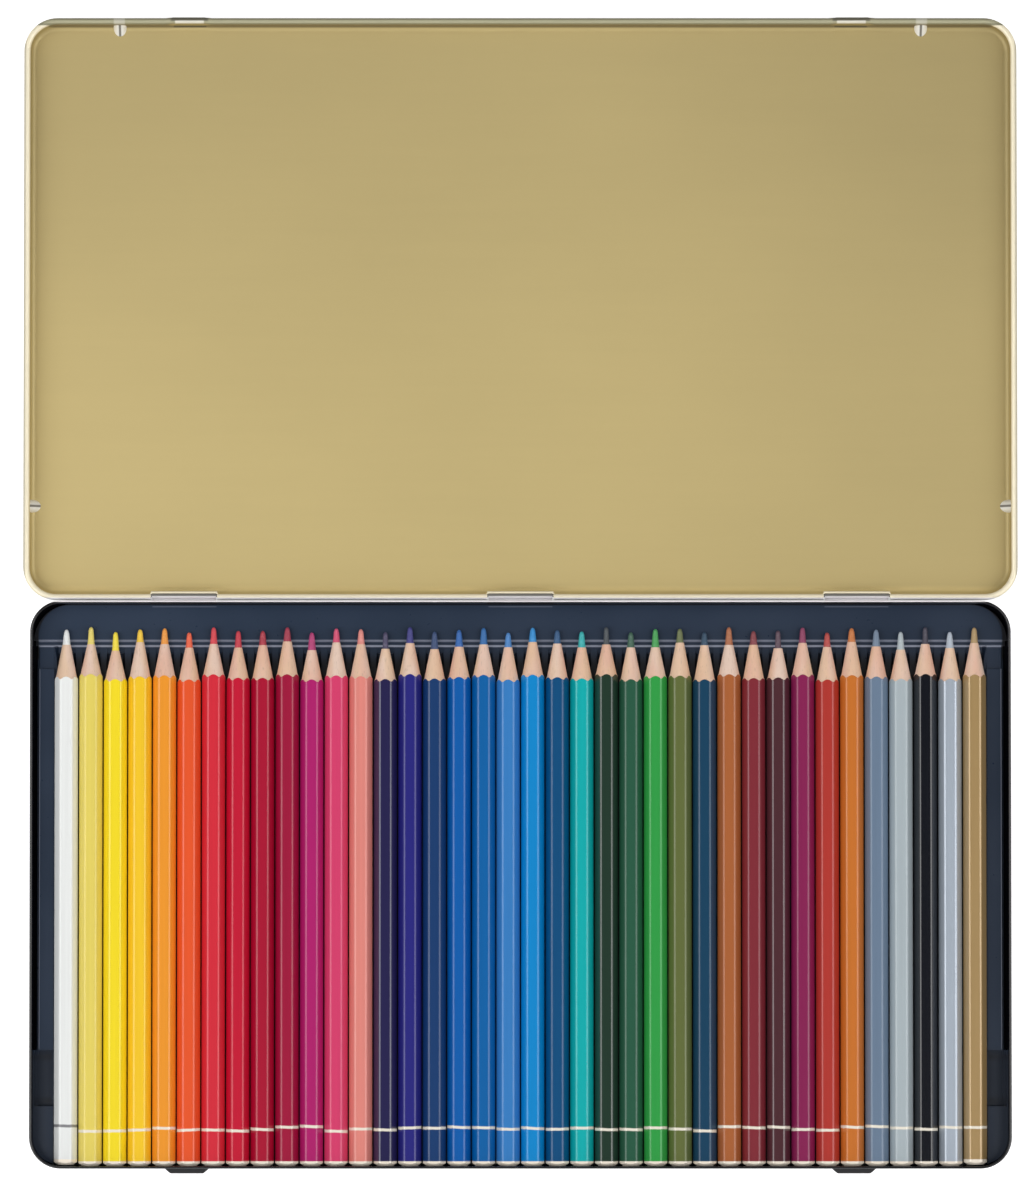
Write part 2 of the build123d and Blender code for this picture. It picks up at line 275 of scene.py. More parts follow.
def gold_lacquer(look):
    """Satin gold lacquer over tinplate, rolled in one direction, thin and pale on the rim, its paleness partly a
    painted highlight; painted light and shade also lie on the panel and the rim.
    """

    def build(tree):
        clouds = tree.noise(0.11, stretch=(0.7, 1, 1), detail=3.0).ramp(0.25, 0.75)
        rolling = tree.noise(0.0016, stretch=(0.03, 1, 1), detail=4.0)
        bands = tree.noise(0.012, stretch=(0.06, 1, 1), detail=3.0)
        flecks = tree.noise(0.003, stretch=(0.5, 1, 1), detail=3.0)
        x, y, z = tree.split(tree.place())
        # worn: the rim above the rim line takes the pale rim colour, for thin lacquer and partly as a painted
        # highlight on the roll.
        worn = z.ramp(look.rim_line - 0.3 * mm, look.rim_line)
        outer = lid_high.y - bulge_room
        near = hinge_y - knuckle_radius - lid_nearer
        far = y.ramp(outer - 2.6 * mm, outer - 2.3 * mm)
        tone = clouds * 0.5 + rolling * 0.2 + bands * 0.2 + flecks * 0.1
        gold = shade(blend(look.gold, (0.72, 0.5, 0.22), 0.28), 1.045)
        sheen = tree.mix(tone, shade(gold, 0.95), shade(gold, 1.1))
        # Painted shade: the panel darkens towards the far side and towards the right, as the light falls off.
        light_falloff = (1.0 - y.ramp(30 * mm, 190 * mm) * 0.15) * (1.0 - x.ramp(20 * mm, 160 * mm) * 0.15)
        sheen = tree.mix(light_falloff, shade(gold, 0.1), sheen)
        # Painted shadow: a dark line along the foot of the far wall.
        far_foot_shadow = y.band(outer - 2.5 * mm, outer - 1.9 * mm, 0.15 * mm) * 0.6
        sheen = tree.mix(far_foot_shadow, sheen, (0.1, 0.08, 0.05))
        # Painted light: a lighter band along the near wall, against that wall's shade.
        sheen = tree.mix(y.ramp(near + 5.5 * mm, near + 2.2 * mm), sheen, shade(gold, 1.5))
        across = x.math("ABSOLUTE")
        beside_bulge = (across - bulge_place).math("ABSOLUTE")
        # pressed: painted shade, near black at the ends of each thumb bulge on the far rim.
        pressed = beside_bulge.ramp(6.6 * mm, 5.6 * mm) * y.ramp(outer - 1.3 * mm, outer - 0.8 * mm)
        # below: painted shadow, a dark band under each thumb bulge.
        below = beside_bulge.ramp(5.6 * mm, 5.0 * mm) * y.band(outer - 2.4 * mm, outer - 1.9 * mm, 0.15 * mm)
        lit = beside_bulge.ramp(5.0 * mm, 4.4 * mm) * y.band(outer - 1.8 * mm, outer - 0.9 * mm, 0.15 * mm)
        # Painted highlight: paler patches on the far rim where the pips come through it.
        pip_rim_highlight = (across - (lid_high.x - pip_inset)).math("ABSOLUTE").ramp(2.1 * mm, 1.5 * mm)
        # Painted light and shade on the far rim: the roll's crest lighter, its flanks darker, from the shaded far rim
        # colour.
        ridge = y.band(outer - 1.7 * mm, outer - 0.7 * mm, 0.2 * mm)
        flat = tree.mix(ridge, shade(look.rim_far, 0.75), shade(look.rim_far, 1.15))
        flat = tree.mix(pip_rim_highlight * 0.5, flat, (0.7, 0.68, 0.6))
        flat = tree.mix(pressed * 0.7, flat, (0.05, 0.045, 0.035))
        flat = tree.mix(lit * 0.85, flat, (0.85, 0.82, 0.72))
        sheen = tree.mix(below * 0.6, sheen, (0.04, 0.035, 0.025))
        # front: painted light, the near rim painted near white where the tray's wall keeps the lamps off it.
        front = y.ramp(near + 0.9 * mm, near + 0.6 * mm)
        # side: painted shade, the outer half of each side rim a darker copy of the rim colour.
        side = across.ramp(lid_high.x - 1.0 * mm, lid_high.x - 0.5 * mm)
        edge = tree.mix(side, look.rim, shade(look.rim, 0.62))
        rim = tree.mix(far, tree.mix(front, edge, (1.0, 0.97, 1.0)), flat)
        return {
            "Base Color": tree.mix(worn, sheen, rim),
            "Metallic": 0.3 - worn * 0.2,
            "Roughness": 0.42 + rolling * 0.08 - worn * 0.1,
            "Normal": tree.bump(rolling + flecks * 0.3, 0.000012),
        }

    return material("gold_lacquer", build)


def bare_tin(look):
    """Bright tinplate where the sheet is stretched or curled hard; each knuckle is painted dark beyond the hinge line
    as shade.
    """

    def build(tree):
        lines = tree.noise(0.004, stretch=(0.3, 1, 1), detail=2.0)
        x, y, z = tree.split(tree.place())
        tin = tree.mix(lines, shade(look.tin, 0.95), shade(look.tin, 1.08))
        # Painted shade: the knuckle is painted dark beyond the hinge line, on its lid side.
        knuckle_back_shade = y.ramp(hinge_y - 0.3 * mm, hinge_y - 0.05 * mm)
        return {
            "Base Color": tree.mix(knuckle_back_shade, tin, (0.26, 0.25, 0.23)),
            "Metallic": 0.45,
            "Roughness": 0.3 + lines * 0.08,
        }

    return material("bare_tin", build)


def bright_tin(look):
    """Polished tinplate of the stamped pips, near white as the tin's colour and partly as painted highlight, with a
    painted dark reflection along each pip's crest.
    """

    def build(tree):
        lines = tree.noise(0.002, detail=2.0)
        x, y, z = tree.split(tree.place())
        far = y.ramp(100 * mm, 101 * mm)
        from_far = (x.math("ABSOLUTE") - (lid_high.x - pip_inset)).math("ABSOLUTE")
        from_side = (y - (hinge_y - knuckle_radius - lid_nearer + side_pip_setback)).math("ABSOLUTE")
        # Painted reflection: a dark line along each pip's crest; the near-white sides are partly painted highlight.
        crest_dark_reflection = from_side + (from_far - from_side) * far
        tin = tree.mix(lines, (0.92, 0.9, 0.82), (1.0, 0.99, 0.95))
        return {
            "Base Color": tree.mix(crest_dark_reflection.ramp(0.55 * mm, 0.2 * mm) * 0.85, tin, (0.1, 0.085, 0.06)),
            "Metallic": 0.3,
            "Roughness": 0.3 + lines * 0.06,
        }

    return material("bright_tin", build)


def drawn_wire(look):
    def build(tree):
        lines = tree.noise(0.0006, stretch=(0.05, 1, 1), detail=3.0)
        return {
            "Base Color": tree.mix(lines, shade(look.wire, 0.75), shade(look.wire, 1.15)),
            "Metallic": 1.0,
            "Roughness": 0.22 + lines * 0.15,
            "Normal": tree.bump(lines, 0.00001),
        }

    return material("drawn_wire", build)


def formed_film(look):
    """Satin slate plastic film formed over a mould, with the odd bubble and scuff, painted highlights along its edges,
    and painted shade at its far edge, between the pencils, over the finger recesses, in its near corners and towards
    the right.
    """

    def build(tree):
        clouds = tree.noise(0.05, detail=4.0).ramp(0.3, 0.7)
        grain = tree.noise(0.0007, detail=2.0)
        specks = tree.noise(0.0018, detail=5.0).ramp(0.68, 0.74)
        x, y, z = tree.split(tree.place())
        step = terrace_line + terrace_shift
        # Painted highlights: pale lines along the ledge and the step, and along the side line.
        drawn = y.band(ledge_line - 0.35 * mm, ledge_line + 0.3 * mm, 0.25 * mm) * 0.62
        drawn = drawn + y.band(step - 0.3 * mm, step + 0.3 * mm, 0.2 * mm)
        beside = x.math("ABSOLUTE").band(side_line - 0.25 * mm, side_line + 0.2 * mm, 0.12 * mm)
        beside = beside * y.ramp(-149 * mm, -147 * mm)
        drawn = drawn + beside * y.ramp(ledge_line + 0.3 * mm, ledge_line) * z.ramp(2.9 * mm, 3.2 * mm) * 0.45
        across = x.math("ABSOLUTE")
        # Painted shadow: outside a rounded outline at the far edge the film is painted near black.
        turn = 10 * mm
        side = (across - (insert_high.x - 1.6 * mm - turn)).math("MAXIMUM", 0.0)
        ahead = (y - (insert_high.y - 0.3 * mm - turn)).math("MAXIMUM", 0.0)
        outside = (side * side + ahead * ahead).math("SQRT") - turn
        far_edge_shadow = outside.ramp(-0.3 * mm, 0.3 * mm) * y.ramp(-22 * mm, -20 * mm)
        # Painted shade: the film darkens between the pencils' cones.
        shade_between_cones = y.ramp(step - 0.8 * mm, step - 6.4 * mm) * across.ramp(151.2 * mm, 150.6 * mm)
        # Painted shade: the film darkens over the finger recesses, with dark bands on their sloping ends.
        recess_shade = y.ramp(-147 * mm, -149 * mm) * 0.3
        recess_end_shade = y.band(-151.4 * mm, -149.4 * mm, 0.9 * mm) + y.band(-165.6 * mm, -163.6 * mm, 0.9 * mm)
        recess_shade = recess_shade + recess_end_shade * across.ramp(152 * mm, 152.6 * mm) * 0.45
        base = tuple(c * f for c, f in zip(look.film, (0.55, 0.74, 0.93)))
        film = tree.mix(clouds, shade(base, 0.93), shade(base, 1.07))
        # Painted shade: the film darkens towards the right.
        film = tree.mix(x.ramp(-160 * mm, 160 * mm) * 0.22, film, (0.004, 0.005, 0.01))
        film = tree.mix(recess_shade, film, (0.004, 0.005, 0.01))
        shaded = across.ramp(152.5 * mm, 157 * mm) * y.ramp(-149 * mm, -151 * mm)
        film = tree.mix(shaded * 0.6, film, shade(base, 0.4))
        hinges = across.math("MINIMUM", (across - hinge_places()[-1]).math("ABSOLUTE"))
        # Painted highlight: a faint pale line at each hinge place.
        mark = y.band(-4.1 * mm, -3.8 * mm, 0.15 * mm) * hinges.ramp(10.6 * mm, 10.2 * mm) * 0.25
        film = tree.mix(mark + drawn, film, look.drawn)
        return {
            "Base Color": tree.mix(far_edge_shadow.math("MAXIMUM", shade_between_cones) * 0.96, film, (0.004, 0.004, 0.006)),
            "Roughness": 0.3 + clouds * 0.05 - specks * 0.08 + shaded * 0.25,
            "Specular IOR Level": 0.35,
            "Normal": tree.bump(grain * 0.5 + specks * 0.6, 0.00002),
        }

    return material("formed_film", build)


# ---- finishes of the pencils
def barrel_lacquer(node, look):
    """Gloss lacquer of one pencil, with the pale ring near its blunt end."""
    slot = slot_of_node[node]
    colour = slot_colours[slot]
    low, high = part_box(node)
    middle = (low[0] + high[0]) / 2
    metallic = slot.endswith(("silver", "bronze"))
    pale = min(colour) > 0.7
    dice = random.Random(node)
    ring_start = low[1] + look.ring_place + dice.uniform(-1, 1) * look.ring_play
    tilt = dice.uniform(-0.05, 0.05)

    def build(tree):
        x, y, z = tree.split(tree.place())
        along = y + (x - middle) * tilt
        wobble = tree.noise(0.002, origin=(middle, 0, 0)) * 0.3 * mm
        ring = (along + wobble).band(ring_start, ring_start + look.ring_width, 0.16 * mm)
        streaks = tree.noise(0.0012, stretch=(1, 0.02, 1), detail=3.0)
        dips = tree.noise(0.014, stretch=(1, 0.3, 1))
        depth = 0.9 if is_dark(node) else 1.0
        pure = tuple(max(0.0, c - look.haze * (1.0 - c)) for c in colour)
        coat = tree.mix(streaks, shade(pure, 0.92 * depth), shade(pure, 1.06 * depth))
        dipped = y.ramp(low[1] + look.dip + 0.15 * mm, low[1] + look.dip - 0.15 * mm)
        ring_colour = (0.2, 0.2, 0.21) if pale else look.ring
        values = {
            "Base Color": tree.mix(dipped, tree.mix(ring * 0.95, coat, ring_colour), look.butt),
            "Roughness": 0.3 + dips * 0.06 + ring * 0.1,
            "Specular IOR Level": 0.1,
            "Coat Weight": 0.9 if is_dark(node) or metallic else 0.55,
            "Coat Roughness": 0.16 if is_dark(node) else 0.22,
            "Coat IOR": 1.7,
            "Normal": tree.bump(dips + streaks * 0.1 + ring * 0.05, 0.000015),
        }
        if metallic:
            values["Metallic"] = 0.28 - ring.math("MAXIMUM", dipped) * 0.28
            values["Roughness"] = 0.3 + dips * 0.08
        return values

    return material(f"barrel_{slot}", build)


def sharpened_wood(look):
    """Pale cedar turned to a cone: grain along the pencil, fine rings left by the blade."""

    def build(tree):
        grain = tree.noise(0.0008, stretch=(1, 0.07, 1), detail=6.0)
        pores = tree.noise(0.0004, stretch=(1, 0.12, 1), detail=4.0).ramp(0.58, 0.7)
        rings = tree.noise(0.0005, stretch=(0.15, 1, 0.15), detail=2.0)
        tone = tree.noise(0.009, stretch=(1, 0.05, 1)).ramp(0.35, 0.65)
        x, y, z = tree.split(tree.place())
        blunt = y.ramp(tray_low.y + 9 * mm, tray_low.y + 6 * mm)
        warm = tree.noise(0.006, stretch=(1, 0.1, 1), origin=(0.3, 0, 0)).ramp(0.4, 0.62)
        wood = tree.mix(tone, blend(look.wood, (0.9, 0.76, 0.66), 0.5), blend(look.wood, (0.85, 0.42, 0.32), 0.32))
        wood = tree.mix(warm * 0.6, wood, blend(look.wood, (0.84, 0.6, 0.3), 0.5))
        wood = tree.mix(grain, tree.mix(0.16, wood, (0.3, 0.15, 0.08)), wood)
        wood = tree.mix(pores * 0.35, wood, shade(look.wood, 0.55))
        return {
            "Base Color": tree.mix(blunt, wood, look.butt),
            "Roughness": 0.6 + grain * 0.15,
            "Normal": tree.bump(rings + grain * 0.5, 0.00003),
        }

    return material("sharpened_wood", build)


def pigment_lead(node):
    """The pencil's own colour as a dry, faintly streaked core."""
    slot = slot_of_node[node]
    colour = slot_colours[slot]
    lead = blend(colour, (0.16, 0.14, 0.2), 0.35) if is_dark(node) else blend(colour, (0.8, 0.8, 0.8), 0.04)

    def build(tree):
        rings = tree.noise(0.0006, stretch=(0.2, 1, 0.2), detail=4.0)
        dust = tree.noise(0.0009, detail=4.0).ramp(0.5, 0.8)
        worn = tree.mix(rings, shade(lead, 0.88), shade(lead, 1.1))
        return {
            "Base Color": tree.mix(dust * 0.12, worn, blend(lead, (1, 1, 1), 0.5)),
            "Roughness": 0.45 + rings * 0.15,
            "Normal": tree.bump(rings, 0.00003),
        }

    return material(f"lead_{slot}", build)


def is_dark(node):
    return sum(slot_colours[slot_of_node[node]]) / 3 < 0.06


# ---- mesh helpers
def mesh_object(name, mesh):
    made = bpy.data.objects.new(name, mesh)
    bpy.context.scene.collection.objects.link(made)
    return made


def closed_mesh(name, points, faces, materials=(), face_slots=()):
    """An object from points and faces, with normals turned outwards."""
    mesh = bpy.data.meshes.new(name)
    mesh.from_pydata([tuple(p) for p in points], [], faces)
    for item in materials:
        mesh.materials.append(item)
    for polygon, slot in zip(mesh.polygons, face_slots):
        polygon.material_index = slot
    form = bmesh.new()
    form.from_mesh(mesh)
    bmesh.ops.remove_doubles(form, verts=form.verts, dist=1e-7)
    bmesh.ops.recalc_face_normals(form, faces=form.faces)
    form.to_mesh(mesh)
    form.free()
    return mesh_object(name, mesh)


def finished(made, angle=32.0, level=False):
    """Takes the evaluated mesh for its own, drops the modifiers and smooths all but sharp edges."""
    graph = bpy.context.evaluated_depsgraph_get()
    mesh = bpy.data.meshes.new_from_object(made.evaluated_get(graph), depsgraph=graph)
    made.modifiers.clear()
    made.data = mesh
    form = bmesh.new()
    form.from_mesh(mesh)
    bmesh.ops.remove_doubles(form, verts=form.verts, dist=2e-7)
    bmesh.ops.dissolve_degenerate(form, edges=form.edges, dist=2e-7)
    for face in form.faces:
        face.smooth = True
    for edge in form.edges:
        one = len({face.material_index for face in edge.link_faces}) == 1
        edge.smooth = one and edge.is_manifold and edge.calc_face_angle(0.0) < radians(angle)
    form.to_mesh(mesh)
    form.free()
    if level:
        made.modifiers.new("level", "WEIGHTED_NORMAL").keep_sharp = True
        graph = bpy.context.evaluated_depsgraph_get()
        made.data = bpy.data.meshes.new_from_object(made.evaluated_get(graph), depsgraph=graph)
        made.modifiers.clear()
    made.data.name = made.name
    return made


def combine(target, tool, operation):
    """Joins a tool to the target or cuts it away, and removes the tool."""
    change = target.modifiers.new(operation.lower(), "BOOLEAN")
    change.operation = operation
    change.solver = "EXACT"
    change.material_mode = "TRANSFER"
    change.object = tool
    graph = bpy.context.evaluated_depsgraph_get()
    mesh = bpy.data.meshes.new_from_object(target.evaluated_get(graph), depsgraph=graph)
    target.modifiers.clear()
    target.data = mesh
    bpy.data.objects.remove(tool)


def box_tool(low, high, materials, slot=0):
    points = [(x, y, z) for x in (low[0], high[0]) for y in (low[1], high[1]) for z in (low[2], high[2])]
    faces = [(0, 1, 3, 2), (4, 6, 7, 5), (0, 4, 5, 1), (2, 3, 7, 6), (0, 2, 6, 4), (1, 5, 7, 3)]
    return closed_mesh("box_tool", points, faces, materials, [slot] * len(faces))


def loft_tool(rings, materials, slot=0):
    """A solid through closed rings of equal length, closed at both ends."""
    count = len(rings[0])
    points = [p for ring in rings for p in ring]
    faces = [
        (r * count + i, r * count + (i + 1) % count, (r + 1) * count + (i + 1) % count, (r + 1) * count + i)
        for r in range(len(rings) - 1)
        for i in range(count)
    ]
    faces += [tuple(range(count)), tuple(range((len(rings) - 1) * count, len(rings) * count))]
    return closed_mesh("loft_tool", points, faces, materials, [slot] * len(faces))


# ---- pressed shells
def arc(centre, radius, start, end, steps):
    angles = [radians(start + (end - start) * i / steps) for i in range(steps + 1)]
    return [(centre[0] + radius * cos(a), centre[1] + radius * sin(a)) for a in angles]


def shell_section(curl, top):
    """Outer side, then inner side, of a pressed wall: foot, upright and rolled rim."""
    roll = curl / 2
    centre = (roll, top - roll)
    foot = (sheet - foot_radius, foot_radius)
    outer = arc(foot, foot_radius, -90, 0, 6) + arc(centre, roll - sheet, 180, -80, 14)
    inner = arc(centre, roll, -80, 180, 20) + arc(foot, foot_radius - sheet, 0, -90, 6)
    return outer, inner


def rim_loop(half_x, half_y, turn, bow=lambda x: 0.0):
    """Points of the wall's inner face in plan with their outward normals; the far side may bow out."""
    steps, stations = 14, 120
    loop = []
    corners = [(half_x - turn, half_y - turn, 0), (turn - half_x, half_y - turn, 90)]
    corners += [(turn - half_x, turn - half_y, 180), (half_x - turn, turn - half_y, 270)]
    for x, y, start in corners:
        for i in range(steps + 1):
            a = radians(start + 90 * i / steps)
            loop.append((Vector((x + turn * cos(a), y + turn * sin(a))), Vector((cos(a), sin(a)))))
        if start == 0:
            span = half_x - turn
            for i in range(1, stations):
                x_here = span - 2 * span * i / stations
                slope = (bow(x_here + mm * 0.05) - bow(x_here - mm * 0.05)) / (mm * 0.1)
                loop.append((Vector((x_here, half_y + bow(x_here))), Vector((-slope, 1.0)).normalized()))
    return loop


def pressed_shell(name, centre_y, loop, section, materials, inner_slot):
    """A tray swept round a loop; its inner side, over the roll, takes its own material slot."""
    outer, inner = section
    profile = outer + inner
    support = 0.6 * mm
    inset = outer[0][0] - support
    profile = [(inset, 0.0)] + profile + [(inset, sheet)]
    count = len(profile)
    points, faces, face_slots = [], [], []
    for spot, normal in loop:
        for out, z in profile:
            plan = spot + normal * out
            points.append((plan.x, plan.y + centre_y, z))
    for station in range(len(loop)):
        following = (station + 1) % len(loop)
        for i in range(count - 1):
            a, b = station * count + i, following * count + i
            faces.append((a, b, b + 1, a + 1))
            face_slots.append(inner_slot if i > len(outer) else 0)
    faces.append(tuple(station * count for station in range(len(loop))))
    faces.append(tuple(station * count + count - 1 for station in reversed(range(len(loop)))))
    face_slots += [0, inner_slot]
    return closed_mesh(name, points, faces, materials, face_slots)


def thumb_bow(places, out):
    """How far the lid's far wall bows out beside each thumb place."""

    def bow(x):
        distance = min(abs(x - place) for place in places)
        share = (bulge_width / 2 - distance) / bulge_ease
        share = min(1.0, max(0.0, share))
        return out * share * share * (3 - 2 * share)

    return bow


def knuckle_section(radius, root_y):
    """A curled tongue seen from the end: flat root, then round the wire."""
    outer = [(hinge_y + radius * cos(a), hinge_z + radius * sin(a)) for a in sweep_angles()]
    inner = [
        (hinge_y + (radius - sheet) * cos(a), hinge_z + (radius - sheet) * sin(a))
        for a in reversed(sweep_angles())
    ]
    return [(root_y, hinge_z - radius)] + outer + inner + [(root_y, hinge_z - radius + sheet)]


def sweep_angles():
    start, wrap, steps = -90, 280, 28
    return [radians(start + wrap * i / steps) for i in range(steps + 1)]


def hinge_places():
    return [(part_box(node)[0][0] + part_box(node)[1][0]) / 2 for node in pin_nodes]


def tray_pressing(look):
    black, tin = bpy.data.materials["black_lacquer"], bpy.data.materials["bare_tin"]
    width = tray_high.x - tray_low.x
    half_x = insert_high.x + side_gap
    front = insert_low.y - insert_gap
    far = insert_high.y + side_gap
    centre_y = (front + far) / 2
    loop = rim_loop(half_x, (far - front) / 2, tray_corner - tray_curl)
    top = 10.0 * mm
    shell = pressed_shell("tray_pressing", centre_y, loop, shell_section(tray_curl, top), [black, tin], 0)
    for side in (-1, 1):
        x = side * (width / 2 - thumb_inset)
        middle = hinge_z - knuckle_radius - 0.2 * mm - boss_height / 2
        combine(shell, boss_tool(x, front, middle, 0.0, front - tray_low.y, 0.0, black), "UNION")
        combine(shell, boss_tool(x, front, middle, sheet, front - tray_low.y - sheet, 0.6 * mm, black), "DIFFERENCE")
    for x in hinge_places():
        half = hinge_width / 2
        window = box_tool(
            (x - half - hinge_side_gap, far - 1 * mm, hinge_z - knuckle_radius + sheet),
            (x + half + hinge_side_gap, far + sheet + 1 * mm, top - tray_curl - 0.1 * mm),
            [black],
        )
        combine(shell, window, "DIFFERENCE")
        section = knuckle_section(knuckle_radius, far)
        rings = [[(x + end * half, y, z) for y, z in section] for end in (-1, 1)]
        combine(shell, loft_tool(rings, [black, tin], 1), "UNION")
    return shell


def boss_tool(x, wall_y, middle, inset, reach, start, finish):
    """A tapered thumb boss with rounded ends, standing out from the front wall."""
    rings = []
    for share in (0.0, 0.55, 0.85, 1.0):
        out = -start + (reach + start) * share
        narrow = max(0.0, out) * tan(boss_taper) + inset
        soft = 0.35 * mm * max(0.0, (share - 0.55) / 0.45) ** 2
        half_w, half_h = boss_width / 2 - 2 * narrow - soft, boss_height / 2 - narrow - soft
        rings.append([(x + px, wall_y - out, middle + pz) for px, pz in rounded_rectangle(half_w, half_h, half_h * 0.6)])
    return loft_tool(rings, [finish])


def rounded_rectangle(half_w, half_h, radius):
    points = []
    for sx, sy, start in ((1, 1, 0), (-1, 1, 90), (-1, -1, 180), (1, -1, 270)):
        points += arc((sx * (half_w - radius), sy * (half_h - radius)), radius, start, start + 90, 4)
    return points


def pip_tool(x, y, turn, radius, materials, slot):
    """A slanting round rod with a domed end that lies in the corner between wall and panel."""
    slant = atan2(pip_height, pip_reach)
    drop = Vector((cos(slant), 0, -sin(slant)))
    under = Vector((-sin(slant), 0, -cos(slant))) * pip_radius
    middle = Vector((pip_reach / 2, 0, sheet + pip_height / 2)) + under
    across = Vector((0, 1, 0))
    upward = drop.cross(across)
    spin = Matrix.Rotation(turn, 3, "Z")
    steps, run = 24, 3 * pip_reach
    rings = []
    for share in (-1.0, 1.0):
        ring = []
        for i in range(steps):
            a = 2 * pi * i / steps
            p = middle + drop * run * share + (across * cos(a) + upward * sin(a)) * radius
            ring.append(spin @ p + Vector((x, y, 0)))
        rings.append(ring)
    return loft_tool(rings, materials, slot)


def lid_pressing(look):
    finishes = [bpy.data.materials[name] for name in ("black_lacquer", "gold_lacquer", "bright_tin")]
    width = lid_high.x - lid_low.x
    near = hinge_y - knuckle_radius - lid_nearer
    far = lid_high.y - bulge_room - lid_curl
    start = near + lid_curl
    centre_y = (start + far) / 2
    half_x = width / 2 - lid_curl
    top = hinge_z + knuckle_radius
    step_y = hinge_y - knuckle_radius + lid_wall + joggle - 0.55 * mm
    places = [-bulge_place, bulge_place]
    loop = rim_loop(half_x, (far - start) / 2, lid_corner - lid_curl, thumb_bow(places, bulge_out))
    shell = pressed_shell("lid_pressing", centre_y, loop, shell_section(lid_curl, top), finishes, 1)
    wall_x, wall_y = width / 2 - lid_wall, lid_high.y - bulge_room - lid_wall
    spots = [(side * (width / 2 - pip_inset), wall_y, -pi / 2) for side in (-1, 1)]
    spots += [(-wall_x, near + side_pip_setback, 0.0), (wall_x, near + side_pip_setback, pi)]
    room = ((-half_x - sheet / 2, start - sheet / 2, sheet / 2), (half_x + sheet / 2, far + sheet / 2, 8 * mm))
    for x, y, turn in spots:
        ridge = pip_tool(x, y, turn, pip_radius, finishes, 2)
        combine(ridge, box_tool(*room, finishes, 2), "INTERSECT")
        combine(shell, ridge, "UNION")
        combine(shell, pip_tool(x, y, turn, pip_radius - sheet, finishes, 0), "DIFFERENCE")
    for x in hinge_places():
        half = hinge_width / 2 + hinge_side_gap
        low = hinge_z + 0.1 * mm - joggle_height
        step = box_tool(
            (x - half - sheet, start - sheet, low), (x + half + sheet, step_y, low + joggle_height), finishes, 1
        )
        combine(shell, step, "UNION")
        bead = arc((step_y + bead_radius * 0.4, low + joggle_height - bead_radius), bead_radius, 0, 342, 19)
        combine(shell, loft_tool([[(x + end * half, y, z) for y, z in bead] for end in (-1, 1)], finishes, 1), "UNION")
        notch = box_tool(
            (x - half, start - 3 * lid_curl, low + sheet), (x + half, step_y - sheet, top + 2 * mm), finishes
        )
        combine(shell, notch, "DIFFERENCE")
    return shell


# ---- the moulded insert
def tighten(point, old, new):
    """Moves a point of the insert's rounded near corners out to a smaller radius."""
    side = 1.0 if point.x > 0 else -1.0
    centre = Vector((side * (insert_high.x - old), insert_low.y + old))
    spoke = Vector((point.x, point.y)) - centre
    if side * spoke.x <= 0 or spoke.y >= 0 or not old - 2.4 * mm < spoke.length < old + 0.1 * mm:
        return
    if abs(point.x) > 152.4 * mm:
        shift = (Vector((side, -1.0)) - spoke.normalized()) * (old - new)
        point.x += shift.x
        point.y += shift.y
    else:
        beyond = max(0.0, abs(point.x) - insert_high.x + new)
        point.y += new - old + sqrt(old * old - spoke.x * spoke.x) - sqrt(new * new - beyond * beyond)


def insert_forming(look):
    """The insert's solid with its edges rounded as film draws over a mould."""
    mesh = frame["nodes"]["pencil_insert"].data.copy()
    mesh.materials.clear()
    mesh.materials.append(bpy.data.materials["formed_film"])
    form = bmesh.new()
    form.from_mesh(mesh)
    for face in form.faces:
        face.material_index = 0
    bmesh.ops.remove_doubles(form, verts=form.verts, dist=1e-6)
    bmesh.ops.dissolve_limit(form, angle_limit=radians(1), verts=form.verts, edges=form.edges)
    for corner in form.verts:
        if abs(corner.co.y - terrace_line) < 0.8 * mm:
            corner.co.y += terrace_shift
            if corner.co.z > 1.67 * mm and abs(corner.co.x) < 151 * mm:
                corner.co.y -= 5.5 * mm
        tighten(corner.co, insert_corner, tray_corner - tray_curl - insert_gap)
    step = terrace_line + terrace_shift
    bmesh.ops.create_cube(
        form, matrix=Matrix.LocRotScale((0, step - 1.1 * mm, 1.24 * mm), None, (302 * mm, 2.6 * mm, 0.84 * mm))
    )
    for side in (-1, 1):
        middle = (side * (insert_high.x - 1.065 * mm), insert_low.y + 28.25 * mm, 0.925 * mm)
        bmesh.ops.create_cube(form, matrix=Matrix.LocRotScale(middle, None, (1.17 * mm, 18.2 * mm, 0.35 * mm)))
    weights = form.edges.layers.float.new("bevel_weight_edge")
    for edge in form.edges:
        if edge.is_manifold and abs(edge.calc_face_angle(0.0)) > radians(20):
            upward = min(face.normal.z for face in edge.link_faces) > -0.2
            convex = edge.calc_face_angle_signed(0.0) > 0
            edge[weights] = 0.0 if not upward else (1.0 if convex else 0.6)
    form.to_mesh(mesh)
    form.free()
    made = mesh_object("insert_forming", mesh)
    soften = made.modifiers.new("soften", "BEVEL")
    soften.limit_method = "WEIGHT"
    soften.width = look.film_edge
    soften.segments = 3
    return made


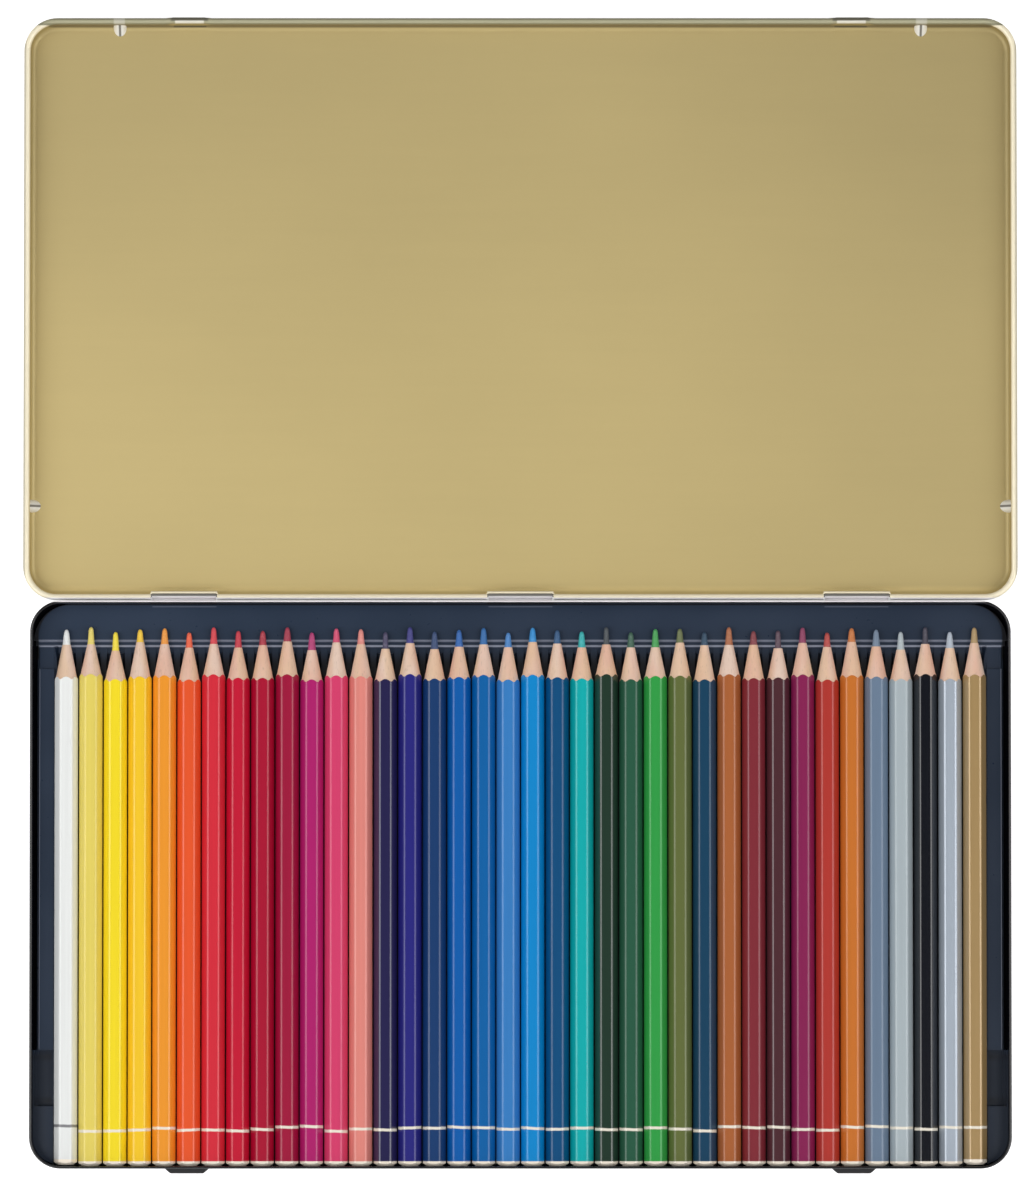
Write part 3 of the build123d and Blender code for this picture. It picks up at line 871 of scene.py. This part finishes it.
# ---- pencils
def pencil_tree():
    """Geometry nodes that turn a hexagonal barrel to a point and set a lead in it."""
    group = bpy.data.node_groups.new("sharpened_pencil", "GeometryNodeTree")
    group.interface.new_socket("Geometry", in_out="OUTPUT", socket_type="NodeSocketGeometry")
    inputs = [
        ("Start", "NodeSocketVector"),
        ("Length", "NodeSocketFloat"),
        ("Across Corners", "NodeSocketFloat"),
        ("Widening", "NodeSocketFloat"),
        ("Edge Radius", "NodeSocketFloat"),
        ("Cone Length", "NodeSocketFloat"),
        ("Lead Shown", "NodeSocketFloat"),
        ("Lead Radius", "NodeSocketFloat"),
        ("Shoulder Radius", "NodeSocketFloat"),
        ("Point Radius", "NodeSocketFloat"),
        ("Bevel Length", "NodeSocketFloat"),
        ("Bevel Inset", "NodeSocketFloat"),
        ("Lacquer", "NodeSocketMaterial"),
        ("Wood", "NodeSocketMaterial"),
        ("Lead", "NodeSocketMaterial"),
    ]
    for label, kind in inputs:
        group.interface.new_socket(label, in_out="INPUT", socket_type=kind)
    tree = Tree(group)
    given = tree.add("NodeGroupInput")
    length, corners = given.out("Length"), given.out("Across Corners")
    reach = corners / 2.0
    lead = given.out("Lead Radius")
    shoulder = given.out("Shoulder Radius")
    shown = given.out("Lead Shown")
    point = given.out("Point Radius")

    def line(start, end):
        values = {"Start": vector(0.0, start, 0.0), "End": vector(0.0, end, 0.0)}
        return tree.add("GeometryNodeCurvePrimitiveLine", {"mode": "POINTS"}, values).out()

    def vector(x, y, z):
        return tree.add("ShaderNodeCombineXYZ", {}, {"X": x, "Y": y, "Z": z}).out()

    def circle(sides, radius):
        values = {"Resolution": sides, "Radius": radius}
        return tree.add("GeometryNodeCurvePrimitiveCircle", {}, values).out()

    def turned(stations, sides):
        """A solid of revolution about the pencil's axis, through stations of distance and radius."""
        index = tree.add("GeometryNodeInputIndex").out()
        count = len(stations)
        places = {"Index": index, **{str(i): station[0] for i, station in enumerate(stations)}}
        radii = {"Index": index, **{str(i): station[1] for i, station in enumerate(stations)}}
        settings = {"data_type": "FLOAT", "items": count}
        along = tree.add("GeometryNodeIndexSwitch", settings, places).out()
        radius = tree.add("GeometryNodeIndexSwitch", settings, radii).out()
        axis = tree.add("GeometryNodeResampleCurve", {}, {"Curve": line(0.0, 1.0), "Count": count}).out()
        moved = tree.add("GeometryNodeSetPosition", {}, {"Geometry": axis, "Position": vector(0.0, along, 0.0)}).out()
        values = {"Curve": moved, "Profile Curve": circle(sides, 1.0), "Scale": radius, "Fill Caps": True}
        return tree.add("GeometryNodeCurveToMesh", {}, values).out()

    def finish(geometry, socket):
        values = {"Geometry": geometry, "Material": given.out(socket)}
        return tree.add("GeometryNodeSetMaterial", {}, values).out()

    hexagon = circle(6, reach + given.out("Edge Radius") * (2 / sqrt(3) - 1))
    values = {"Curve": hexagon, "Count": 6, "Radius": given.out("Edge Radius")}
    rounded = tree.add("GeometryNodeFilletCurve", {"mode": "POLY"}, values).out()
    values = {"Curve": line(0.0, length), "Profile Curve": rounded, "Scale": 1.0, "Fill Caps": True}
    barrel = finish(tree.add("GeometryNodeCurveToMesh", {}, values).out(), "Lacquer")
    beyond = reach * 1.05
    waist, steep = reach * 0.87, 0.44
    bevel = given.out("Bevel Length")
    envelope = finish(
        turned(
            [
                (0.02 * mm, reach - given.out("Bevel Inset")),
                (bevel, reach + 0.1 * mm),
                (bevel + 1 * mm, beyond),
                (length - given.out("Cone Length") - (beyond - reach) / steep, beyond),
                (length - given.out("Cone Length") + (reach - waist) / steep, waist),
                (length - shown, shoulder),
            ],
            96,
        ),
        "Wood",
    )
    settings = {"operation": "INTERSECT", "solver": "EXACT"}
    wood = tree.add("GeometryNodeMeshBoolean", settings, {"Mesh 2": [barrel, envelope]}).out()
    values = {"Geometry": wood, "Scale": vector(given.out("Widening"), 1.0, 1.0)}
    wood = tree.add("GeometryNodeTransform", {}, values).out()
    nose = point * 1.7
    tip = turned(
        [
            (length - shown - 0.2 * mm, lead),
            (length - nose, point + (lead - point) * nose / shown * 0.9),
            (length - nose * 0.6, point * 0.98),
            (length - nose * 0.3, point * 0.8),
            (length - nose * 0.1, point * 0.52),
            (length - nose * 0.02, point * 0.25),
            (length, point * 0.04),
        ],
        48,
    )
    butt = turned([(0.0, lead), (0.3 * mm, lead)], 32)
    core = tree.add("GeometryNodeJoinGeometry", {}, {"Geometry": [tip, butt]}).out()
    settings = {"data_type": "BOOLEAN", "domain": "FACE"}
    values = {"Geometry": core, "Name": "lead", "Value": True}
    core = tree.add("GeometryNodeStoreNamedAttribute", settings, values).out()
    whole = tree.add("GeometryNodeJoinGeometry", {}, {"Geometry": [wood, core]}).out()
    whole = tree.add("GeometryNodeSetPosition", {}, {"Geometry": whole, "Offset": given.out("Start")}).out()
    whole = tree.add("GeometryNodeRealizeInstances", {}, {"Geometry": whole}).out()
    is_lead = tree.add("GeometryNodeInputNamedAttribute", {"data_type": "BOOLEAN"}, {"Name": "lead"}).out()
    values = {"Geometry": whole, "Selection": is_lead, "Material": given.out("Lead")}
    whole = tree.add("GeometryNodeSetMaterial", {}, values).out()
    tree.add("NodeGroupOutput", {}, {"Geometry": whole})
    return group


def set_inputs(modifier, values):
    """Sets a geometry modifier's inputs by their sockets' identifiers."""
    for item in modifier.node_group.interface.items_tree:
        if item.in_out == "INPUT" and item.name in values:
            modifier[item.identifier] = values[item.name]


def pencil_turned(node, group, look):
    low, high = (Vector(corner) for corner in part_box(node))
    low.y = min(low.y, insert_low.y + 0.1 * mm)
    axis_z = (low.z + high.z) / 2
    flats = high.z - low.z
    corners = high.x - low.x
    dice = random.Random(node)
    shoulder = look.lead_radius * dice.uniform(0.9, 1.04)
    lead = shoulder * (0.74 if is_dark(node) else dice.uniform(0.92, 0.98))
    shown = look.lead_shown * dice.uniform(0.82, 1.2)
    reach = flats / sqrt(3) - look.barrel_edge * (2 / sqrt(3) - 1)
    made = mesh_object(f"{node}_turned", bpy.data.meshes.new(node))
    modifier = made.modifiers.new("sharpened_pencil", "NODES")
    modifier.node_group = group
    set_inputs(
        modifier,
        {
            "Start": ((low.x + high.x) / 2, low.y, axis_z),
            "Length": high.y - low.y,
            "Across Corners": 2 * reach,
            "Widening": (corners - 0.04 * mm) / (2 * reach),
            "Edge Radius": look.barrel_edge,
            "Cone Length": look.cone_length,
            "Lead Shown": shown,
            "Lead Radius": lead,
            "Shoulder Radius": shoulder,
            "Point Radius": look.point_radius,
            "Bevel Length": look.bevel_length,
            "Bevel Inset": look.bevel_inset,
            "Lacquer": barrel_lacquer(node, look),
            "Wood": bpy.data.materials["sharpened_wood"],
            "Lead": pigment_lead(node),
        },
    )
    return finished(made, angle=28.0, level=True)


# ---- settings that a user would change
def colour(name, description, value):
    return bpy.props.FloatVectorProperty(
        name=name, description=description, subtype="COLOR", size=3, min=0.0, max=1.0, default=value
    )


def length(name, description, value):
    return bpy.props.FloatProperty(name=name, description=description, unit="LENGTH", precision=5, default=value)


class TinLook(bpy.types.PropertyGroup):
    """Colours and edge sizes of the tin."""

    black: colour("Outside lacquer", "Lacquer outside the tin and all over the tray", slot_colours["tray_lacquer"])
    gold: colour("Inside lacquer", "Lacquer inside the lid", slot_colours["lid_lacquer"])
    # Rim colour: thin lacquer, partly a painted highlight on the roll.
    rim: colour("Rim", "Where the lacquer is thin on the lid's rolled rim", (0.95, 0.86, 0.64))
    # Far rim colour: a darker copy of the rim, painted shade on the far side.
    rim_far: colour("Far rim", "The lid's rim along the far side", (0.37, 0.35, 0.225))
    rim_line: length("Rim line", "Height above which the rim is pale", 5.9 * mm)
    tin: colour("Tin", "Bare tinplate of the pips and knuckles", (0.88, 0.85, 0.88))
    wire: colour("Hinge wire", "Bare steel of the hinge pins", slot_colours["hinge_wire"])
    film: colour("Insert film", "Plastic of the moulded insert", slot_colours["insert_plastic"])
    # Pale colour of the painted highlights on the film's edges.
    drawn: colour("Drawn film", "Film where it is stretched over an edge", (0.34, 0.37, 0.47))
    film_edge: length("Film edge", "How far the film's edges are rounded", 0.5 * mm)


class PencilLook(bpy.types.PropertyGroup):
    """Sizes and colours that all pencils share."""

    haze: bpy.props.FloatProperty(name="Haze", description="Share of white that the gloss adds", default=0.008)
    wood: colour("Wood", "Sharpened cedar", (0.82, 0.54, 0.405))
    butt: colour("Blunt end", "Pale dip on the bevelled end", (1.0, 0.9, 0.76))
    ring: colour("Ring", "Pale ring near the blunt end", (0.88, 0.82, 0.7))
    ring_place: length("Ring place", "From the blunt end to the ring", 11.7 * mm)
    ring_play: length("Ring play", "How far the ring's place varies", 0.8 * mm)
    ring_width: length("Ring width", "Width of the ring", 0.9 * mm)
    barrel_edge: length("Barrel edge", "Radius of the barrel's long edges", 1.15 * mm)
    cone_length: length("Cone length", "From the point to the first of the lacquer", 16.2 * mm)
    lead_radius: length("Lead radius", "Radius of the coloured lead where the wood ends", 1.35 * mm)
    lead_shown: length("Lead shown", "Usual length of bare lead", 5.1 * mm)
    point_radius: length("Point radius", "Radius of the worn point", 0.72 * mm)
    dip: length("Dip", "How far the pale dip reaches up the barrel", 1.5 * mm)
    bevel_length: length("Bevel length", "Length of the bevel at the blunt end", 1.0 * mm)
    bevel_inset: length("Bevel inset", "How far the bevel draws in", 1.2 * mm)


class StageLook(bpy.types.PropertyGroup):
    """Floor, lamps and camera."""

    floor: colour("Floor", "Pale floor", (0.93, 0.93, 0.93))
    distance: length("Camera distance", "From the tin to the camera", 3.0)
    elevation: bpy.props.FloatProperty(
        name="Camera elevation", description="Height of the view above the table", subtype="ANGLE", default=radians(87.5)
    )
    view_width: length("View width", "Width of the table in the picture", 336.0 * mm)
    fill: bpy.props.FloatProperty(name="Fill", description="Strength of the light from all round", default=0.56)
    zenith: bpy.props.FloatProperty(name="Zenith", description="Share of that light from overhead", default=0.12)
    behind: bpy.props.FloatProperty(name="Behind", description="Share of that light from behind", default=0.3)


# ---- operators
def dress(piece, body, slot, *nodes):
    """Puts a finished piece on its body in place of CAD nodes."""
    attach(piece, body)
    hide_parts(*nodes)


class PENCILTIN_OT_tray(bpy.types.Operator):
    """Press the tray with its thumb bosses and hinge knuckles"""

    bl_idname = "penciltin.tray"
    bl_label = "Tray"

    def execute(self, context):
        black_lacquer(context.scene.tin_look)
        bare_tin(context.scene.tin_look)
        dress(finished(tray_pressing(context.scene.tin_look)), "tray", "tray_lacquer", "tray_shell")
        return {"FINISHED"}


class PENCILTIN_OT_lid(bpy.types.Operator):
    """Press the lid with its rolled rim, pips and hinge notches"""

    bl_idname = "penciltin.lid"
    bl_label = "Lid"

    def execute(self, context):
        gold_lacquer(context.scene.tin_look)
        bright_tin(context.scene.tin_look)
        dress(finished(lid_pressing(context.scene.tin_look)), "lid", "lid_lacquer", "lid_shell")
        return {"FINISHED"}


class PENCILTIN_OT_hinges(bpy.types.Operator):
    """Finish the wire of the hinges"""

    bl_idname = "penciltin.hinges"
    bl_label = "Hinge wires"

    def execute(self, context):
        wire = drawn_wire(context.scene.tin_look)
        for node in pin_nodes:
            for place in frame["nodes"][node].material_slots:
                place.material = wire
        return {"FINISHED"}


class PENCILTIN_OT_insert(bpy.types.Operator):
    """Form the insert that holds the pencils"""

    bl_idname = "penciltin.insert"
    bl_label = "Insert"

    def execute(self, context):
        formed_film(context.scene.tin_look)
        made = finished(insert_forming(context.scene.tin_look), angle=40.0, level=True)
        dress(made, "tray", "insert_plastic", "pencil_insert")
        return {"FINISHED"}


class PENCILTIN_OT_pencils(bpy.types.Operator):
    """Turn and lacquer the pencils"""

    bl_idname = "penciltin.pencils"
    bl_label = "Pencils"

    def execute(self, context):
        look = context.scene.pencil_look
        sharpened_wood(look)
        group = pencil_tree()
        for node in pencil_nodes:
            dress(pencil_turned(node, group, look), node, slot_of_node[node], node)
        return {"FINISHED"}


def area_lamp(name, place, target, size, power, tint=(1, 1, 1)):
    lamp = bpy.data.lights.new(name, "AREA")
    lamp.shape = "RECTANGLE"
    lamp.size, lamp.size_y = size
    lamp.energy = power
    lamp.color = tint
    made = bpy.data.objects.new(name, lamp)
    bpy.context.scene.collection.objects.link(made)
    made.location = place
    made.rotation_euler = (Vector(target) - Vector(place)).to_track_quat("-Z", "Y").to_euler()


class PENCILTIN_OT_stage(bpy.types.Operator):
    """Lay the floor and set the lamps and the camera"""

    bl_idname = "penciltin.stage"
    bl_label = "Stage"

    def execute(self, context):
        look = context.scene.stage_look
        scene = context.scene
        reach = 1.5
        made = closed_mesh("floor", [(-reach, -reach, 0), (reach, -reach, 0), (reach, reach, 0), (-reach, reach, 0)], [(0, 1, 2, 3)])
        made.data.transform(Matrix.Translation((0, 0, -0.0002)))
        made.data.materials.append(self.floor_material(look))
        self.light_world(scene, look)
        area_lamp("lamp_left", (-1.0, -0.1, 1.1), (0, 0, 0), (0.9, 1.2), 9.1)
        area_lamp("lamp_right", (1.0, -0.1, 1.1), (0, 0, 0), (0.9, 1.2), 7.9)
        area_lamp("lamp_high_left", (-0.5, -0.6, 1.6), (0, 0, 0), (0.5, 0.5), 2.9)
        area_lamp("lamp_high_right", (0.6, -0.4, 1.6), (0, 0, 0), (0.5, 0.5), 1.8)
        area_lamp("lamp_high_back", (-0.1, 0.7, 1.6), (0, 0, 0), (0.5, 0.5), 1.7)
        camera = bpy.data.cameras.new("camera")
        camera.sensor_fit = "HORIZONTAL"
        camera.sensor_width = 36.0
        camera.lens = camera.sensor_width * look.distance / look.view_width
        camera.clip_end = 20.0
        made = bpy.data.objects.new("camera", camera)
        scene.collection.objects.link(made)
        target = Vector((-1.6 * mm, -1.65 * mm, 0.0))
        line = Vector((0, -cos(look.elevation), sin(look.elevation)))
        made.location = target + line * look.distance
        made.rotation_euler = (-line).to_track_quat("-Z", "Y").to_euler()
        scene.camera = made
        scene.view_settings.view_transform = "Standard"
        return {"FINISHED"}

    def floor_material(self, look):
        made = bpy.data.materials.new("floor")
        made.use_nodes = True
        made.node_tree.nodes.clear()
        tree = Tree(made.node_tree)
        path = tree.add("ShaderNodeLightPath")
        plain = tree.add("ShaderNodeBsdfDiffuse", {}, {"Color": look.floor}).out()
        lift = tree.add("ShaderNodeEmission", {}, {"Color": (1, 1, 1), "Strength": path.out("Is Camera Ray") * 0.7})
        both = tree.add("ShaderNodeAddShader", {}, {0: plain, 1: lift.out()})
        tree.add("ShaderNodeOutputMaterial", {}, {"Surface": both.out()})
        return made

    def light_world(self, scene, look):
        world = bpy.data.worlds.new("studio")
        scene.world = world
        world.use_nodes = True
        world.node_tree.nodes.clear()
        tree = Tree(world.node_tree)
        seen = tree.add("ShaderNodeLightPath").out("Is Camera Ray")
        x, y, z = tree.split(tree.add("ShaderNodeTexCoord").out("Generated"))
        overhead = z.ramp(0.86, 0.97)
        ahead = (y * -1.0).ramp(-0.5, 0.4)
        light = (ahead * (1.0 - look.behind) + look.behind) * (1.0 - overhead * (1.0 - look.zenith)) * look.fill
        strength = seen + (1.0 - seen) * light
        sky = tree.add("ShaderNodeBackground", {}, {"Color": (1, 1, 1), "Strength": strength})
        tree.add("ShaderNodeOutputWorld", {}, {"Surface": sky.out()})


class PENCILTIN_PT_panel(bpy.types.Panel):
    """Sizes, colours and steps of the pencil tin"""

    bl_idname = "PENCILTIN_PT_panel"
    bl_label = "Coloured Pencil Tin"
    bl_space_type = "VIEW_3D"
    bl_region_type = "UI"
    bl_category = "Pencil Tin"

    def draw(self, context):
        for look in (context.scene.tin_look, context.scene.pencil_look, context.scene.stage_look):
            box = self.layout.box()
            for name in look.__annotations__:
                box.prop(look, name)
        for operator in operators:
            self.layout.operator(operator.bl_idname)


operators = (
    PENCILTIN_OT_tray,
    PENCILTIN_OT_lid,
    PENCILTIN_OT_hinges,
    PENCILTIN_OT_insert,
    PENCILTIN_OT_pencils,
    PENCILTIN_OT_stage,
)
looks = {"tin_look": TinLook, "pencil_look": PencilLook, "stage_look": StageLook}


def register():
    for group in (*looks.values(), *operators, PENCILTIN_PT_panel):
        bpy.utils.register_class(group)
    for name, group in looks.items():
        setattr(bpy.types.Scene, name, bpy.props.PointerProperty(type=group))


def unregister():
    for name in looks:
        delattr(bpy.types.Scene, name)
    for group in reversed((*looks.values(), *operators, PENCILTIN_PT_panel)):
        bpy.utils.unregister_class(group)


def main():
    register()
    bpy.ops.penciltin.tray()
    bpy.ops.penciltin.lid()
    bpy.ops.penciltin.hinges()
    bpy.ops.penciltin.insert()
    bpy.ops.penciltin.pencils()
    bpy.ops.penciltin.stage()


if __name__ == "__main__":
    main()
